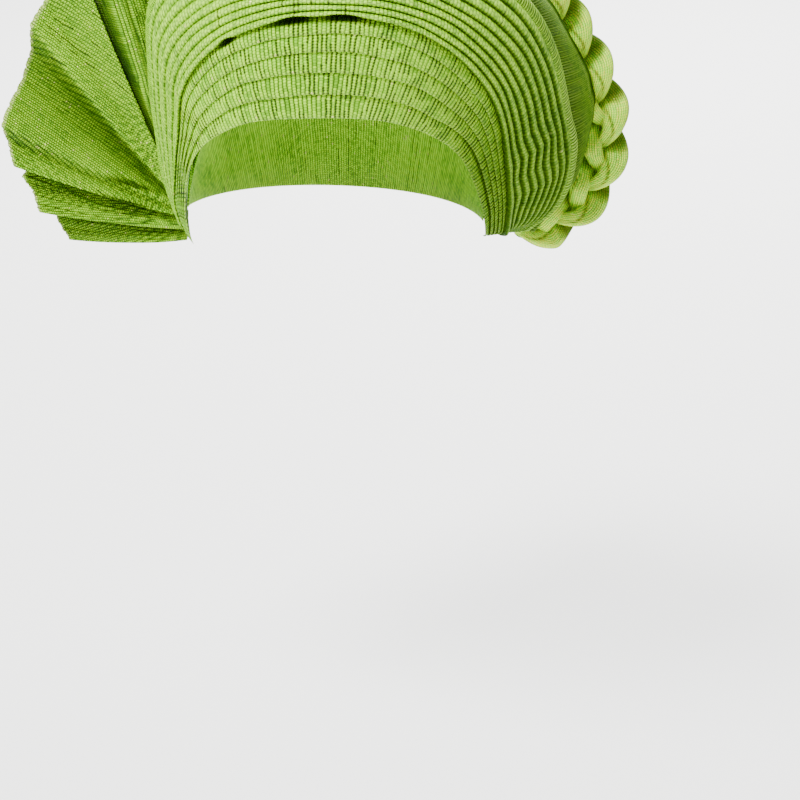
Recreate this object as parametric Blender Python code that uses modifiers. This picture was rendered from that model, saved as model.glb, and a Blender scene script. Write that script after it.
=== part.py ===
"""A tied gele head tie: a pleated front, a ruffled side fan, a plaited braid and a crown of folded cloth.

The origin is the middle of the head opening at brow level. +X is the wearer's left, which is on the right
of a front view, +Y is the back of the head, and +Z is up. All sizes are in metres.
"""

import math
from collections import namedtuple

import bpy
import numpy as np

# Cloth
CLOTH = 0.0012  # thickness of the folded cloth
FAN_CLOTH = 0.0014  # thickness of the fan's doubled cloth
GAP = 0.0005  # clearance kept between neighbouring pieces
LAP_GAP = 0.0008  # clearance between lapped tiers, which bend tightly at the sides

# The head that the cloth is tied round, at the inside of the cloth
HEAD_HALF_WIDTH = 0.077
HEAD_HALF_LENGTH = 0.097
HEAD_HEIGHT = 0.107

# The pleated front
HEM_RISE = 0.064  # the hem's highest point on the forehead
CREST_RISE = 0.140  # the last pleat's highest point
CREST_RIGHT = 0.120  # the last pleat's reach on the braid's side
CREST_LEFT = 0.087  # the last pleat's reach on the fan's side
CREST_FORWARD = 0.061  # how far the last pleat stands forward at the top
FRONT_FULLNESS = 0.010  # how far the front swells past a straight line from hem to last pleat
TIER_COUNT = 5
TIER_LAP = 0.30  # how far a tier runs on under the next one, as a share of a tier
PLEAT_COUNT = 10
PLEAT_GROWTH = 0.06  # each fine pleat is wider than the one below by this share of the first
PLEAT_DEPTH = 0.0016  # height of a fine pleat's ridge

# The smooth wing behind the last pleat
WING_WIDTH = 0.013
WING_SWELL = 0.0015

# The crown over the top and back of the head
SLOT = 0.011  # room between the last pleat and the crown, where the fan comes out
NAPE_DROP = 0.036  # how far the crown's edge hangs below the brow at the nape
CROWN_LENGTH = 0.078  # how far the crown runs straight back behind the crest
CROWN_RISE = 0.104  # how far the crown stands up from the nape before it turns
CROWN_DRAW = 0.60  # how far the crown draws in at the sides for each length that it runs back
CROWN_FOLDS = 3
CROWN_LAP = 0.12  # how far a fold runs on over the next one, as a share of a fold
CROWN_GAP = 0.0006  # clearance between a crown fold and what it lies on
FOLD_DEPTH = 0.0016  # how far a crown fold swells at its middle
BAND_HEIGHT = 0.19  # height of the nape band, as a share of the crown's length

# The ruffled fan
FAN_REACH = 0.125  # length of the fan's longest folds but one, from the root
FAN_DEPTH = 0.012  # how far its folds stand forward or back at the rim
FAN_BOW = 0.003  # how far the leaves bow forward half way out
FAN_SIDE = 0.077  # the folds' lines turn about a point this far from the middle
FAN_ROOT_DROP = 0.012  # and this far below the brow
FAN_STAND_OFF = 0.0023  # the folds' inner ends stand this far out from that point

# The three-strand braid
BRAID_PERIOD = 0.073  # length in which a strand comes back to its place
BRAID_SWING = 0.0076  # sideways swing of a strand
BRAID_DEPTH = 0.0053  # swing of a strand from front to back
BRAID_RISE = 0.149
BRAID_REACH = 0.135

# Fineness of the faces
STEPS_ALONG = 30
CROWN_STEPS = 5
FAN_STEPS = 6
STRAND_SIDES = 6
STRAND_STEPS = 80

LIME = (0.27, 0.52, 0.06, 1.0)
LIME_DEEP = (0.20, 0.42, 0.04, 1.0)

# One row for each section across the front, from the fan's root over the forehead to the braid's root.
# hem_turn is in degrees round the head; hem_rise is a share of HEM_RISE; crest_side of CREST_RIGHT or
# CREST_LEFT; crest_depth of CREST_FORWARD; crest_rise of CREST_RISE; fullness of FRONT_FULLNESS; tiers is
# the share of the way from hem to crest that the broad tiers take up.
Front = namedtuple("Front", "station hem_turn hem_rise crest_side crest_depth crest_rise fullness tiers")
FRONT_SECTIONS = (
    Front(0.00, -65.0, -0.19, -0.90, -0.30, -0.090, 0.0, 0.46),
    Front(0.08, -64.5, 0.03, -0.955, -0.39, 0.09, 0.1, 0.43),
    Front(0.17, -64.5, 0.30, -0.99, -0.46, 0.28, 0.2, 0.43),
    Front(0.25, -61.0, 0.52, -1.00, -0.51, 0.52, 0.4, 0.44),
    Front(0.34, -50.0, 0.735, -0.93, -0.54, 0.785, 0.7, 0.49),
    Front(0.43, -31.0, 0.925, -0.56, -0.76, 0.950, 0.9, 0.55),
    Front(0.52, -4.0, 1.00, -0.02, -1.00, 1.00, 1.0, 0.57),
    Front(0.61, 22.0, 0.96, 0.36, -0.90, 0.968, 1.0, 0.56),
    Front(0.70, 42.0, 0.80, 0.68, -0.60, 0.815, 0.9, 0.51),
    Front(0.79, 56.0, 0.56, 0.87, -0.26, 0.570, 0.8, 0.45),
    Front(0.86, 62.5, 0.32, 0.955, -0.05, 0.310, 0.7, 0.39),
    Front(0.92, 68.0, 0.08, 1.00, 0.03, 0.125, 0.5, 0.37),
    Front(0.96, 74.0, -0.14, 0.965, 0.05, -0.030, 0.3, 0.38),
    Front(1.00, 82.0, -0.33, 0.83, 0.05, -0.185, 0.0, 0.43),
)

# The free edge of the wing, from the last pleat, in shares of WING_WIDTH.
Wing = namedtuple("Wing", "station side back up")
WING_SECTIONS = (
    Wing(0.36, 0.00, 0.30, 0.15),
    Wing(0.52, 0.05, 0.60, 0.35),
    Wing(0.61, 0.15, 0.62, 0.40),
    Wing(0.70, 0.42, 0.75, 0.25),
    Wing(0.79, 0.72, 1.05, -0.15),
    Wing(0.86, 1.00, 0.70, 0.25),
    Wing(0.92, 0.55, 0.40, 0.40),
    Wing(0.96, 0.42, 0.30, 0.25),
    Wing(1.00, 0.20, 0.28, -0.05),
)

# Where the crown starts, from the last pleat, in shares of SLOT.
Start = namedtuple("Start", "station side back up")
CROWN_STARTS = (
    Start(0.00, 0.15, 1.00, 0.00),
    Start(0.08, 0.45, 1.15, 0.00),
    Start(0.25, 0.30, 1.20, 0.00),
    Start(0.34, 0.20, 0.90, -0.15),
    Start(0.43, 0.10, 0.50, -0.10),
    Start(0.52, 0.00, 0.36, -0.03),
    Start(0.70, -0.16, 0.36, 0.00),
    Start(0.86, -0.65, 0.30, 0.00),
    Start(1.00, -0.85, 0.34, 0.10),
)

# The folds of the fan, leaf by leaf from the top. turn is in degrees up from a line that points straight
# out to the side; reach is a share of FAN_REACH; forward, from the opening's middle, of FAN_DEPTH, more is
# nearer the front; root_up and root_forward place the fold's inner end in the same way.
Fold = namedtuple("Fold", "turn reach forward root_up root_forward")
FAN_LEAVES = (
    (
        Fold(84.0, 1.08, 2.00, 2.50, 1.45),
        Fold(79.0, 1.12, 1.90, 2.15, 1.41),
        Fold(74.5, 1.10, 0.70, 1.80, 1.35),
        Fold(69.0, 1.02, -0.50, 1.45, 1.31),
        Fold(62.0, 0.90, -0.65, 1.10, 1.31),
    ),
    (
        Fold(72.0, 1.08, 0.80, 1.60, 1.49),
        Fold(66.0, 1.04, 0.60, 1.45, 1.49),
        Fold(60.7, 0.99, 0.15, 1.30, 1.49),
        Fold(55.1, 0.95, 0.35, 1.15, 1.49),
        Fold(49.0, 0.865, -0.40, 1.00, 1.49),
        Fold(40.0, 0.812, -0.65, 0.85, 1.49),
        Fold(27.4, 0.795, 0.10, 0.70, 1.49),
        Fold(22.0, 0.752, -0.25, 0.50, 1.49),
        Fold(15.5, 0.701, 0.15, 0.30, 1.49),
    ),
    (
        Fold(19.0, 0.600, -0.85, 0.30, 1.32),
        Fold(9.7, 0.675, -0.75, 0.05, 1.32),
        Fold(5.1, 0.628, -0.60, -0.20, 1.32),
        Fold(-2.4, 0.598, -0.15, -0.40, 1.32),
    ),
    (
        Fold(2.0, 0.450, -1.20, -0.30, 1.15),
        Fold(-7.2, 0.551, -0.95, -0.65, 1.15),
        Fold(-18.7, 0.518, -0.65, -1.00, 1.15),
    ),
)

# Places along the braid's middle line. side is a share of BRAID_REACH, back of SLOT, up of BRAID_RISE.
Place = namedtuple("Place", "side back up")
BRAID_ROUTE = (
    Place(0.690, 1.60, -0.222),
    Place(0.785, 1.75, -0.208),
    Place(0.900, 1.80, -0.140),
    Place(0.975, 1.75, -0.045),
    Place(1.010, 1.75, 0.080),
    Place(1.000, 1.75, 0.210),
    Place(0.955, 1.75, 0.335),
    Place(0.885, 1.60, 0.455),
    Place(0.800, 1.20, 0.580),
    Place(0.700, 0.50, 0.712),
    Place(0.560, -0.50, 0.840),
    Place(0.385, -1.60, 0.946),
    Place(0.190, -2.40, 1.010),
    Place(0.000, -2.70, 1.025),
    Place(-0.190, -2.40, 1.010),
    Place(-0.365, -1.60, 0.964),
    Place(-0.515, -0.50, 0.875),
    Place(-0.622, 0.80, 0.735),
)


def smooth_rows(rows, at):
    """Reads a table whose first column is a station, at any stations, on a smooth curve through its rows."""
    table = np.array(rows, float)
    x, y = table[:, 0], table[:, 1:]
    slope = np.gradient(y, x, axis=0)
    i = np.clip(np.searchsorted(x, at, side="right") - 1, 0, len(x) - 2)
    h = (x[i + 1] - x[i])[:, None]
    t = (at - x[i])[:, None] / h
    start = (1 + 2 * t) * (1 - t) ** 2 * y[i] + t * (1 - t) ** 2 * h * slope[i]
    end = t**2 * (3 - 2 * t) * y[i + 1] + t**2 * (t - 1) * h * slope[i + 1]
    return start + end


def head_point(turn, rise):
    """The inside of the cloth on the head: turn in radians round from the front, rise above the brow."""
    slim = np.sqrt(np.clip(1 - (rise / HEAD_HEIGHT) ** 2, 0, 1))
    side = HEAD_HALF_WIDTH * slim * np.sin(turn)
    back = -HEAD_HALF_LENGTH * slim * np.cos(turn)
    return np.stack([side, back, rise], axis=-1)


def unit(vectors):
    """The same directions with length 1."""
    return vectors / np.maximum(np.linalg.norm(vectors, axis=-1, keepdims=True), 1e-9)


def surface_normals(points):
    """Outward normals of a grid whose first way runs across the front and whose second runs up and back."""
    along = np.gradient(points, axis=0)
    across = np.gradient(points, axis=1)
    return unit(np.cross(along, across))


def front_edges(stations):
    """The hem, the last pleat's crest and the fullness, at each station across the front."""
    values = smooth_rows(FRONT_SECTIONS, stations)
    turn, rise, side, depth, up, fullness, _ = values.T
    hem = head_point(np.radians(turn), rise * HEM_RISE)
    reach = np.where(side > 0, CREST_RIGHT, CREST_LEFT)
    crest = np.stack([side * reach, depth * CREST_FORWARD, up * CREST_RISE], axis=-1)
    return hem, crest, fullness * FRONT_FULLNESS


def front_surface(stations, shares):
    """The front's base surface: a straight line from hem to crest, swelled outwards most above its middle.

    shares holds, for each station, the shares of the way from hem to crest.
    """
    hem, crest, fullness = front_edges(stations)
    chord = crest - hem
    along = np.gradient(hem + crest, axis=0)
    out = unit(np.cross(along, chord))
    v = shares[..., None]
    swell = 4 * v * (1 - v) * (0.6 + 0.8 * v)
    return hem[:, None] + chord[:, None] * v + out[:, None] * fullness[:, None, None] * swell


def tier_lines(stations):
    """Shares of the way from hem to crest at which each tier and each fine pleat starts, for each station."""
    middle = np.sin(np.pi * stations) ** 0.8
    tiers_part = smooth_rows(FRONT_SECTIONS, stations)[:, -1]
    growth = 1 + PLEAT_GROWTH * np.arange(PLEAT_COUNT)
    fall = 1 - 0.11 * middle[:, None] * (np.arange(TIER_COUNT) - (TIER_COUNT - 1) / 2)
    tiers = fall / fall.sum(1, keepdims=True) * tiers_part[:, None]
    pleats = np.broadcast_to(growth / growth.sum(), (len(stations), PLEAT_COUNT))
    widths = np.concatenate([tiers, pleats * (1 - tiers_part)[:, None]], axis=1)
    return np.concatenate([np.zeros((len(stations), 1)), np.cumsum(widths, axis=1)], axis=1)


def lap_step(stations, lines):
    """How far one tier lies over the next so that two tilted layers of cloth keep LAP_GAP."""
    hem, crest, _ = front_edges(stations)
    length = np.linalg.norm(crest - hem, axis=-1)
    pitch = length * np.diff(lines[:, : TIER_COUNT + 1], axis=1).min(1)
    layer = CLOTH + LAP_GAP
    return layer / np.sqrt(1 - np.clip(layer / pitch, 0, 0.75) ** 2)


def lines_at(lines, place):
    """The share at a place counted in tiers and pleats, which may lie between two lines."""
    low = np.minimum(int(place), lines.shape[1] - 2)
    part = place - low
    return lines[:, low] * (1 - part) + lines[:, low + 1] * part


def add_grid(name, points, thickness, colour, wall_side=1.0):
    """Adds one piece of cloth: a grid of points made a sheet of quads, given its wall by Solidify."""
    rows, columns = points.shape[:2]
    number = np.arange(rows * columns).reshape(rows, columns)
    corners = [number[:-1, :-1], number[1:, :-1], number[1:, 1:], number[:-1, 1:]]
    faces = np.stack(corners, axis=-1).reshape(-1, 4)
    mesh = bpy.data.meshes.new(name)
    mesh.from_pydata(points.reshape(-1, 3).tolist(), [], faces.tolist())
    return finish_piece(name, mesh, colour, thickness, wall_side)


def finish_piece(name, mesh, colour, thickness=0.0, wall_side=1.0):
    """Links a mesh as its own object with its own material, and gives it a wall where it has a thickness."""
    mesh.shade_smooth()
    mesh.set_sharp_from_angle(angle=math.radians(28))
    piece = bpy.data.objects.new(name, mesh)
    COLLECTION.objects.link(piece)
    if thickness:
        wall = piece.modifiers.new("wall", "SOLIDIFY")
        wall.thickness = thickness
        wall.offset = wall_side
    cloth = bpy.data.materials.new(name + "_cloth")
    cloth.use_nodes = True
    shader = cloth.node_tree.nodes["Principled BSDF"]
    shader.inputs["Base Color"].default_value = colour
    shader.inputs["Roughness"].default_value = 0.75
    shader.inputs["Metallic"].default_value = 0.0
    mesh.materials.append(cloth)
    return piece


def add_front_tiers():
    """The broad folded tiers over the forehead, each lying over the top of the one below it."""
    stations = np.linspace(0, 1, STEPS_ALONG + 1)
    lines = tier_lines(stations)
    step = lap_step(stations, lines)
    for tier in range(TIER_COUNT):
        places = np.linspace(tier, tier + 1 + TIER_LAP, 3)
        shares = np.stack([lines_at(lines, place) for place in places], axis=-1)
        base = front_surface(stations, shares)
        rise = step[:, None] * (tier + 1 + TIER_LAP - places)
        points = base + surface_normals(base) * rise[..., None]
        add_grid(f"front_tier_{tier + 1}", points, CLOTH, LIME)


def add_fine_pleats():
    """The fine pleats above the tiers, one ribbed sheet whose lower edge lies over the last tier."""
    stations = np.linspace(0, 1, STEPS_ALONG + 1)
    lines = tier_lines(stations)
    step = lap_step(stations, lines)
    places = TIER_COUNT + np.arange(2 * PLEAT_COUNT + 1) / 2
    places[1::2] -= 0.12
    shares = np.stack([lines_at(lines, place) for place in places], axis=-1)
    base = front_surface(stations, shares)
    hem, crest, _ = front_edges(stations)
    length = np.linalg.norm(crest - hem, axis=-1)
    pitch = length * (1 - lines[:, TIER_COUNT]) / PLEAT_COUNT
    ridge = np.minimum(PLEAT_DEPTH, 0.45 * pitch)[:, None] * (np.arange(len(places)) % 2)
    tier_width = (lines[:, TIER_COUNT] - lines[:, TIER_COUNT - 1])[:, None]
    past = (shares - lines[:, TIER_COUNT][:, None]) / tier_width
    lift = step[:, None] * (np.clip(1 + TIER_LAP - past, 0, None) + 0.25 * (past < 1.6))
    points = base + surface_normals(base) * (lift + ridge)[..., None]
    add_grid("fine_pleats", points, CLOTH, LIME)


def add_side_wing():
    """The smooth wing behind the last pleat: from the crest to its free edge, a little swelled."""
    first = WING_SECTIONS[0].station
    stations = np.linspace(first, 1, STEPS_ALONG)
    _, crest, _ = front_edges(stations)
    spread = smooth_rows(WING_SECTIONS, stations) * WING_WIDTH
    away = unit(spread)
    start = crest + away * (GAP + CLOTH)
    v = np.linspace(0, 1, 3)[None, :, None]
    straight = start[:, None] + (spread - away * (GAP + CLOTH))[:, None] * v
    out = surface_normals(straight)
    points = straight + out * (WING_SWELL * 4 * v * (1 - v) - CLOTH)
    add_grid("side_wing", points, CLOTH, LIME_DEEP)


def crown_surface(stations, shares):
    """The crown: for each station a curve that leaves the crest straight back and comes down to the nape."""
    _, crest, _ = front_edges(stations)
    start = crest + smooth_rows(CROWN_STARTS, stations) * SLOT
    turn = np.radians(-98 - 164 * stations)
    arch = np.sin(np.pi * stations)
    rise = -(0.45 + 0.22 * stations + 0.44 * arch) * NAPE_DROP
    nape = head_point(turn, rise)
    outward = unit(nape * [1, 1, 0])
    back = np.stack([-CROWN_DRAW * start[:, 0] / CREST_RIGHT, 1 + 0 * turn, -0.12 * arch], axis=-1)
    first = start + back * (CROWN_LENGTH * (0.12 + 0.88 * arch))[:, None]
    lean = unit(outward * 0.35 + [0, 0, 1])
    second = nape + lean * (CROWN_RISE * (0.05 + 0.95 * arch))[:, None]
    v = shares[None, :, None]
    ends = (1 - v) ** 3 * start[:, None] + v**3 * nape[:, None]
    return ends + 3 * v * (1 - v) ** 2 * first[:, None] + 3 * v**2 * (1 - v) * second[:, None]


def crown_step():
    """How far one crown fold, or the nape band, stands out over what it lies on."""
    return CLOTH + CROWN_GAP


def add_crown():
    """The cloth over the top and back of the head: broad wrapped folds, each lying over the one behind it."""
    stations = np.linspace(0, 1, STEPS_ALONG + 1)
    for fold in range(CROWN_FOLDS):
        last = min(fold + 1 + CROWN_LAP, CROWN_FOLDS)
        places = np.linspace(fold, last, CROWN_STEPS + 1)
        base = crown_surface(stations, places / CROWN_FOLDS)
        bulge = np.sin(np.pi * stations)[:, None] * np.sin(np.pi * (places - fold) / (last - fold))[None]
        height = crown_step() * (places - fold)[None] + FOLD_DEPTH * bulge
        points = base + surface_normals(base) * height[..., None]
        add_grid(f"crown_fold_{fold + 1}", points, CLOTH, LIME)


def add_nape_band():
    """A plain folded band that lies over the crown's lower edge and closes the wrap round the nape."""
    stations = np.linspace(0.10, 0.92, STEPS_ALONG)
    shares = np.linspace(1 - BAND_HEIGHT, 1, 3)
    base = crown_surface(stations, shares)
    height = 2 * crown_step() + FOLD_DEPTH
    points = base + surface_normals(base) * height
    add_grid("nape_band", points, CLOTH, LIME_DEEP)


def add_fan():
    """The ruffled fan: leaves of cloth whose folds run from the root to the rim like spokes."""
    root = np.array([-FAN_SIDE, 0, -FAN_ROOT_DROP])
    for number, folds in enumerate(FAN_LEAVES):
        count = 2 * (len(folds) - 1) + 1
        rows = [(i, *fold) for i, fold in enumerate(folds)]
        turn, reach, forward, root_up, root_forward = smooth_rows(rows, np.linspace(0, len(folds) - 1, count)).T
        away = np.stack([-np.cos(np.radians(turn)), 0 * turn, np.sin(np.radians(turn))], axis=-1)
        inner = root + FAN_DEPTH * np.stack([0 * turn, -root_forward, root_up], axis=-1)
        inner[:, 0] -= FAN_STAND_OFF
        rim = root + away * (reach * FAN_REACH)[:, None]
        rim[:, 1] = -forward * FAN_DEPTH
        r = np.linspace(0, 1, FAN_STEPS + 1)[None, :, None]
        bow = np.array([0, -FAN_BOW, 0]) * 4 * r * (1 - r)
        points = inner[:, None] + (rim - inner)[:, None] * r + bow
        add_grid(f"fan_leaf_{number + 1}", points, FAN_CLOTH, LIME, wall_side=0.0)


def braid_frame(shares):
    """The braid's middle line and the way outwards from it, at shares of its length."""
    route = np.array(BRAID_ROUTE) * [BRAID_REACH, SLOT, BRAID_RISE]
    dense = smooth_rows([(i, *p) for i, p in enumerate(route)], np.linspace(0, len(route) - 1, 600))
    run = np.concatenate([[0], np.cumsum(np.linalg.norm(np.diff(dense, axis=0), axis=1))])
    middle = np.stack([np.interp(shares * run[-1], run, dense[:, k]) for k in range(3)], axis=-1)
    forward = unit(np.gradient(middle, axis=0))
    out = unit(np.cross(forward, [0, -1.0, 0]))
    return middle, out, np.cross(out, forward), run[-1]


def add_braid():
    """The three strands: each swings from side to side once a period and from front to back twice."""
    shares = np.linspace(0, 1, STRAND_STEPS)
    middle, out, front, length = braid_frame(shares)
    ring = np.arange(STRAND_SIDES) / STRAND_SIDES * 2 * np.pi
    taper = np.clip(np.minimum(shares, 1 - shares) / 0.05, 0.35, 1) ** 0.5
    for strand in range(3):
        phase = 2 * np.pi * (shares * length / BRAID_PERIOD + strand / 3)
        side = np.sin(phase)
        deep = np.sin(2 * phase)
        line = middle + out * (BRAID_SWING * side)[:, None] + front * (BRAID_DEPTH * deep)[:, None]
        thick = BRAID_DEPTH * (0.66 + 0.34 * side**6) * taper - GAP
        wide = BRAID_SWING * (0.55 + 0.20 * side**4) * taper - GAP
        around = (
            np.cos(ring)[None, :, None] * (out * wide[:, None])[:, None]
            + np.sin(ring)[None, :, None] * (front * thick[:, None])[:, None]
        )
        add_tube(f"braid_strand_{strand + 1}", line[:, None] + around, LIME)


def add_tube(name, rings, colour):
    """Adds a solid from rings of points, each joined to the next, with flat ends."""
    count, sides = rings.shape[:2]
    number = np.arange(count * sides).reshape(count, sides)
    after = np.roll(number, -1, axis=1)
    corners = [number[:-1], number[1:], after[1:], after[:-1]]
    faces = np.stack(corners, axis=-1).reshape(-1, 4).tolist()
    faces += [number[0].tolist(), number[-1, ::-1].tolist()]
    mesh = bpy.data.meshes.new(name)
    mesh.from_pydata(rings.reshape(-1, 3).tolist(), [], faces)
    return finish_piece(name, mesh, colour)


for old in list(bpy.data.objects):
    bpy.data.objects.remove(old)
COLLECTION = bpy.data.collections.new("tied_gele_head_tie")
bpy.context.scene.collection.children.link(COLLECTION)
add_front_tiers()
add_fine_pleats()
add_side_wing()
add_crown()
add_nape_band()
add_fan()
add_braid()
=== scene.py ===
"""A tied gele head tie in woven lime cloth: tiers, fine pleats, fan, braid and crown, dressed over its frame.

The origin is the middle of the head opening at brow level. +X is the right of a front view, +Y the back of
the head and +Z up, all in metres. Each piece is a surface worked out on a grid; its docstring says how.
"""

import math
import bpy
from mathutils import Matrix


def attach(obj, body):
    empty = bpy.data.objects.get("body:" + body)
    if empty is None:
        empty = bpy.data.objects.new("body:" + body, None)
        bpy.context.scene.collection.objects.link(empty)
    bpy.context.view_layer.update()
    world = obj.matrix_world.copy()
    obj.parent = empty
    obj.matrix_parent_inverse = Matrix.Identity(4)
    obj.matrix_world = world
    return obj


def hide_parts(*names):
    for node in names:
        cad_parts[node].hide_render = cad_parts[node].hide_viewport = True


bl_info = {
    "name": "Tied Gele Head Tie",
    "version": (1, 0, 0),
    "blender": (4, 5, 0),
    "location": "View3D > Sidebar > Head tie",
    "description": "Dresses a tied gele head tie in woven lime cloth",
    "category": "Add Mesh",
}

from collections import namedtuple

import bpy
import numpy as np
from bpy.props import FloatProperty, FloatVectorProperty, PointerProperty
from mathutils import Matrix, Vector

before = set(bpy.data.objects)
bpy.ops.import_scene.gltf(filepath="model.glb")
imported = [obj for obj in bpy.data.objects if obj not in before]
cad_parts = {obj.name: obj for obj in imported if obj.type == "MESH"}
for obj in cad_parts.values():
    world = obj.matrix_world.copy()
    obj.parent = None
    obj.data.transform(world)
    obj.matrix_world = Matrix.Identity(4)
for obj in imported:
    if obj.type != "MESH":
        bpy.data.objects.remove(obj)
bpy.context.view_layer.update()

TIER_COUNT = 5
PLEAT_COUNT = 10
CROWN_FOLDS = 3
# Grid points across one fine pleat, and across the inner face of a folded band.
PLEAT_POINTS = 12
INNER_POINTS = 6
# The head's half sizes: to the side, to the front and back, and up.
HEAD_RADII = (0.077, 0.097, 0.107)
# The row of beads on the fine pleats, and the dots along a selvedge, in metres.
PLEAT_ROW = 0.0015
SELVEDGE_DOTS = 0.0017
# The colour of painted shade deep in a fold, and the dark of an openwork hole.
NO_LIGHT = (0.010, 0.040, 0.0)

# One row for each section across the front, from the fan's root over the forehead to the braid's root.
# hem_turn is in degrees round the head; the other columns are shares of the front's named sizes; tiers is
# the share of the way from hem to crest that the broad tiers take up.
# Columns: station, hem_turn, hem_rise, crest_side, crest_depth, crest_rise, fullness, tiers.
FRONT_SECTIONS = (
    (0.00, -61.5, -0.19, -0.90, -0.30, -0.090, 0.0, 0.38),
    (0.08, -62.5, 0.03, -0.94, -0.39, 0.09, 0.1, 0.32),
    (0.17, -64.0, 0.30, -0.955, -0.46, 0.28, 0.2, 0.27),
    (0.25, -60.0, 0.52, -0.955, -0.51, 0.52, 0.4, 0.27),
    (0.34, -49.6, 0.735, -0.90, -0.54, 0.785, 0.7, 0.355),
    (0.43, -31.0, 0.925, -0.56, -0.76, 0.950, 0.9, 0.465),
    (0.52, -4.0, 1.00, -0.02, -1.00, 1.00, 1.0, 0.572),
    (0.61, 22.0, 0.96, 0.36, -0.90, 0.968, 1.0, 0.535),
    (0.70, 42.0, 0.80, 0.68, -0.60, 0.815, 0.9, 0.425),
    (0.79, 56.0, 0.56, 0.87, -0.26, 0.570, 0.8, 0.325),
    (0.86, 62.5, 0.32, 0.955, -0.05, 0.310, 0.7, 0.255),
    (0.92, 68.0, 0.08, 1.00, 0.03, 0.125, 0.5, 0.225),
    (0.96, 74.0, -0.14, 0.965, 0.05, -0.030, 0.3, 0.235),
    (1.00, 82.0, -0.33, 0.83, 0.05, -0.185, 0.0, 0.35),
)

# How far the wing's free edge stands off the last pleat: station, then shares of the wing's width to the
# side, back and up.
WING_SECTIONS = (
    (0.36, 0.00, 0.30, 0.15),
    (0.52, 0.05, 0.60, 0.35),
    (0.61, 0.15, 0.62, 0.40),
    (0.70, 0.42, 0.75, 0.25),
    (0.79, 0.72, 1.05, -0.15),
    (0.86, 1.00, 0.70, 0.25),
    (0.92, 0.55, 0.40, 0.40),
    (0.96, 0.42, 0.30, 0.25),
    (1.00, 0.20, 0.28, -0.05),
)

# Where the crown starts, from the last pleat: station, then shares of the slot to the side, back and up.
CROWN_STARTS = (
    (0.00, 0.15, 1.00, 0.00),
    (0.08, 0.45, 1.15, 0.00),
    (0.25, 0.30, 1.20, 0.00),
    (0.34, 0.20, 0.90, -0.15),
    (0.43, 0.10, 0.50, -0.10),
    (0.52, 0.00, 0.36, -0.03),
    (0.70, -0.16, 0.36, 0.00),
    (0.86, -0.65, 0.30, 0.00),
    (1.00, -0.85, 0.34, 0.10),
)

# The folds of the fan, leaf by leaf from the top. turn is in degrees up from a line that points straight
# out to the side; reach is a share of the fan's reach; forward, root_up and root_forward of its depth;
# shade is the painted shade at the fold, from 0 to 1, for how deep the place lies between two folds.
# Columns: turn, reach, forward, root_up, root_forward, shade.
FAN_LEAVES = (
    (
        (87.0, 1.08, 2.00, 2.50, 1.45, 0.75),
        (82.5, 1.10, 2.00, 2.35, 1.43, 0.10),
        (77.0, 1.12, 1.60, 2.00, 1.38, 0.05),
        (71.5, 1.06, 0.10, 1.60, 1.33, 0.97),
        (62.0, 0.90, -0.65, 1.10, 1.31, 0.97),
    ),
    (
        (72.0, 1.08, 0.80, 1.60, 1.49, 0.00),
        (66.0, 1.04, 0.60, 1.45, 1.49, 0.05),
        (60.7, 0.99, 0.15, 1.30, 1.49, 0.15),
        (55.1, 0.95, 0.35, 1.15, 1.49, 0.00),
        (49.0, 0.865, -0.40, 1.00, 1.49, 0.80),
        (40.0, 0.812, -0.65, 0.85, 1.49, 0.42),
        (27.4, 0.795, 0.10, 0.70, 1.49, 0.05),
        (22.0, 0.752, -0.25, 0.50, 1.49, 0.35),
        (15.5, 0.701, 0.15, 0.30, 1.49, 0.00),
    ),
    (
        (19.0, 0.600, -0.85, 0.30, 1.32, 0.70),
        (9.7, 0.675, -0.75, 0.05, 1.32, 0.40),
        (5.1, 0.628, -0.60, -0.20, 1.32, 0.05),
        (-2.4, 0.598, -0.15, -0.40, 1.32, 0.10),
    ),
    (
        (2.0, 0.450, -1.20, -0.30, 1.15, 0.85),
        (-7.2, 0.551, -0.95, -0.65, 1.15, 0.45),
        (-18.7, 0.518, -0.65, -1.00, 1.15, 0.10),
    ),
)

# Small creases on the leaves: shares across the leaf, from its top fold, and out along it, at both ends;
# height is how far a crease stands forward, and shade the painted shade beside it.
Crease = namedtuple("Crease", "leaf across out to_across to_out height shade")
FAN_CREASES = (
    Crease(1, 0.62, 0.10, 0.74, 0.42, 0.0012, 0.80),
    Crease(1, 0.93, 0.16, 0.97, 0.46, 0.0014, 0.75),
    Crease(1, 0.50, 0.12, 0.55, 0.50, 0.0010, 0.55),
    Crease(2, 0.62, 0.46, 0.20, 0.88, 0.0018, 0.60),
    Crease(2, 0.45, 0.12, 0.62, 0.62, 0.0012, 0.65),
    Crease(3, 0.40, 0.15, 0.55, 0.80, 0.0010, 0.35),
    Crease(0, 0.20, 0.10, 0.30, 0.95, 0.0010, 0.50),
)

# Places along the braid's middle line: shares of the braid's reach, the crown's slot and the braid's rise.
BRAID_ROUTE = (
    (0.690, 1.60, -0.222), (0.785, 1.75, -0.208), (0.900, 1.80, -0.140),
    (0.975, 1.75, -0.045), (1.010, 1.75, 0.080), (1.000, 1.75, 0.210),
    (0.955, 1.75, 0.335), (0.885, 1.60, 0.455), (0.800, 1.20, 0.580),
    (0.700, 0.50, 0.712), (0.560, -0.50, 0.840), (0.385, -1.60, 0.946),
    (0.190, -2.40, 1.010), (0.000, -2.70, 1.025), (-0.190, -2.40, 1.010),
    (-0.365, -1.60, 0.964), (-0.515, -0.50, 0.875), (-0.622, 0.80, 0.735),
)

# Places where the first fine pleat lifts off the last tier and leaves a slit, darkened with painted shade on
# the last tier.
Slit = namedtuple("Slit", "station half_width")
SLITS = (Slit(0.432, 0.016), Slit(0.500, 0.026), Slit(0.5435, 0.026))

# Bends across the pleats on the braid's side, where the gathered cloth has been pressed.
Bend = namedtuple("Bend", "station half_width")
PLEAT_BENDS = (Bend(0.865, 0.028), Bend(0.925, 0.026))


def metres(name, description, default):
    """A size in metres."""
    return FloatProperty(name=name, description=description, default=default, unit="LENGTH")


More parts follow.
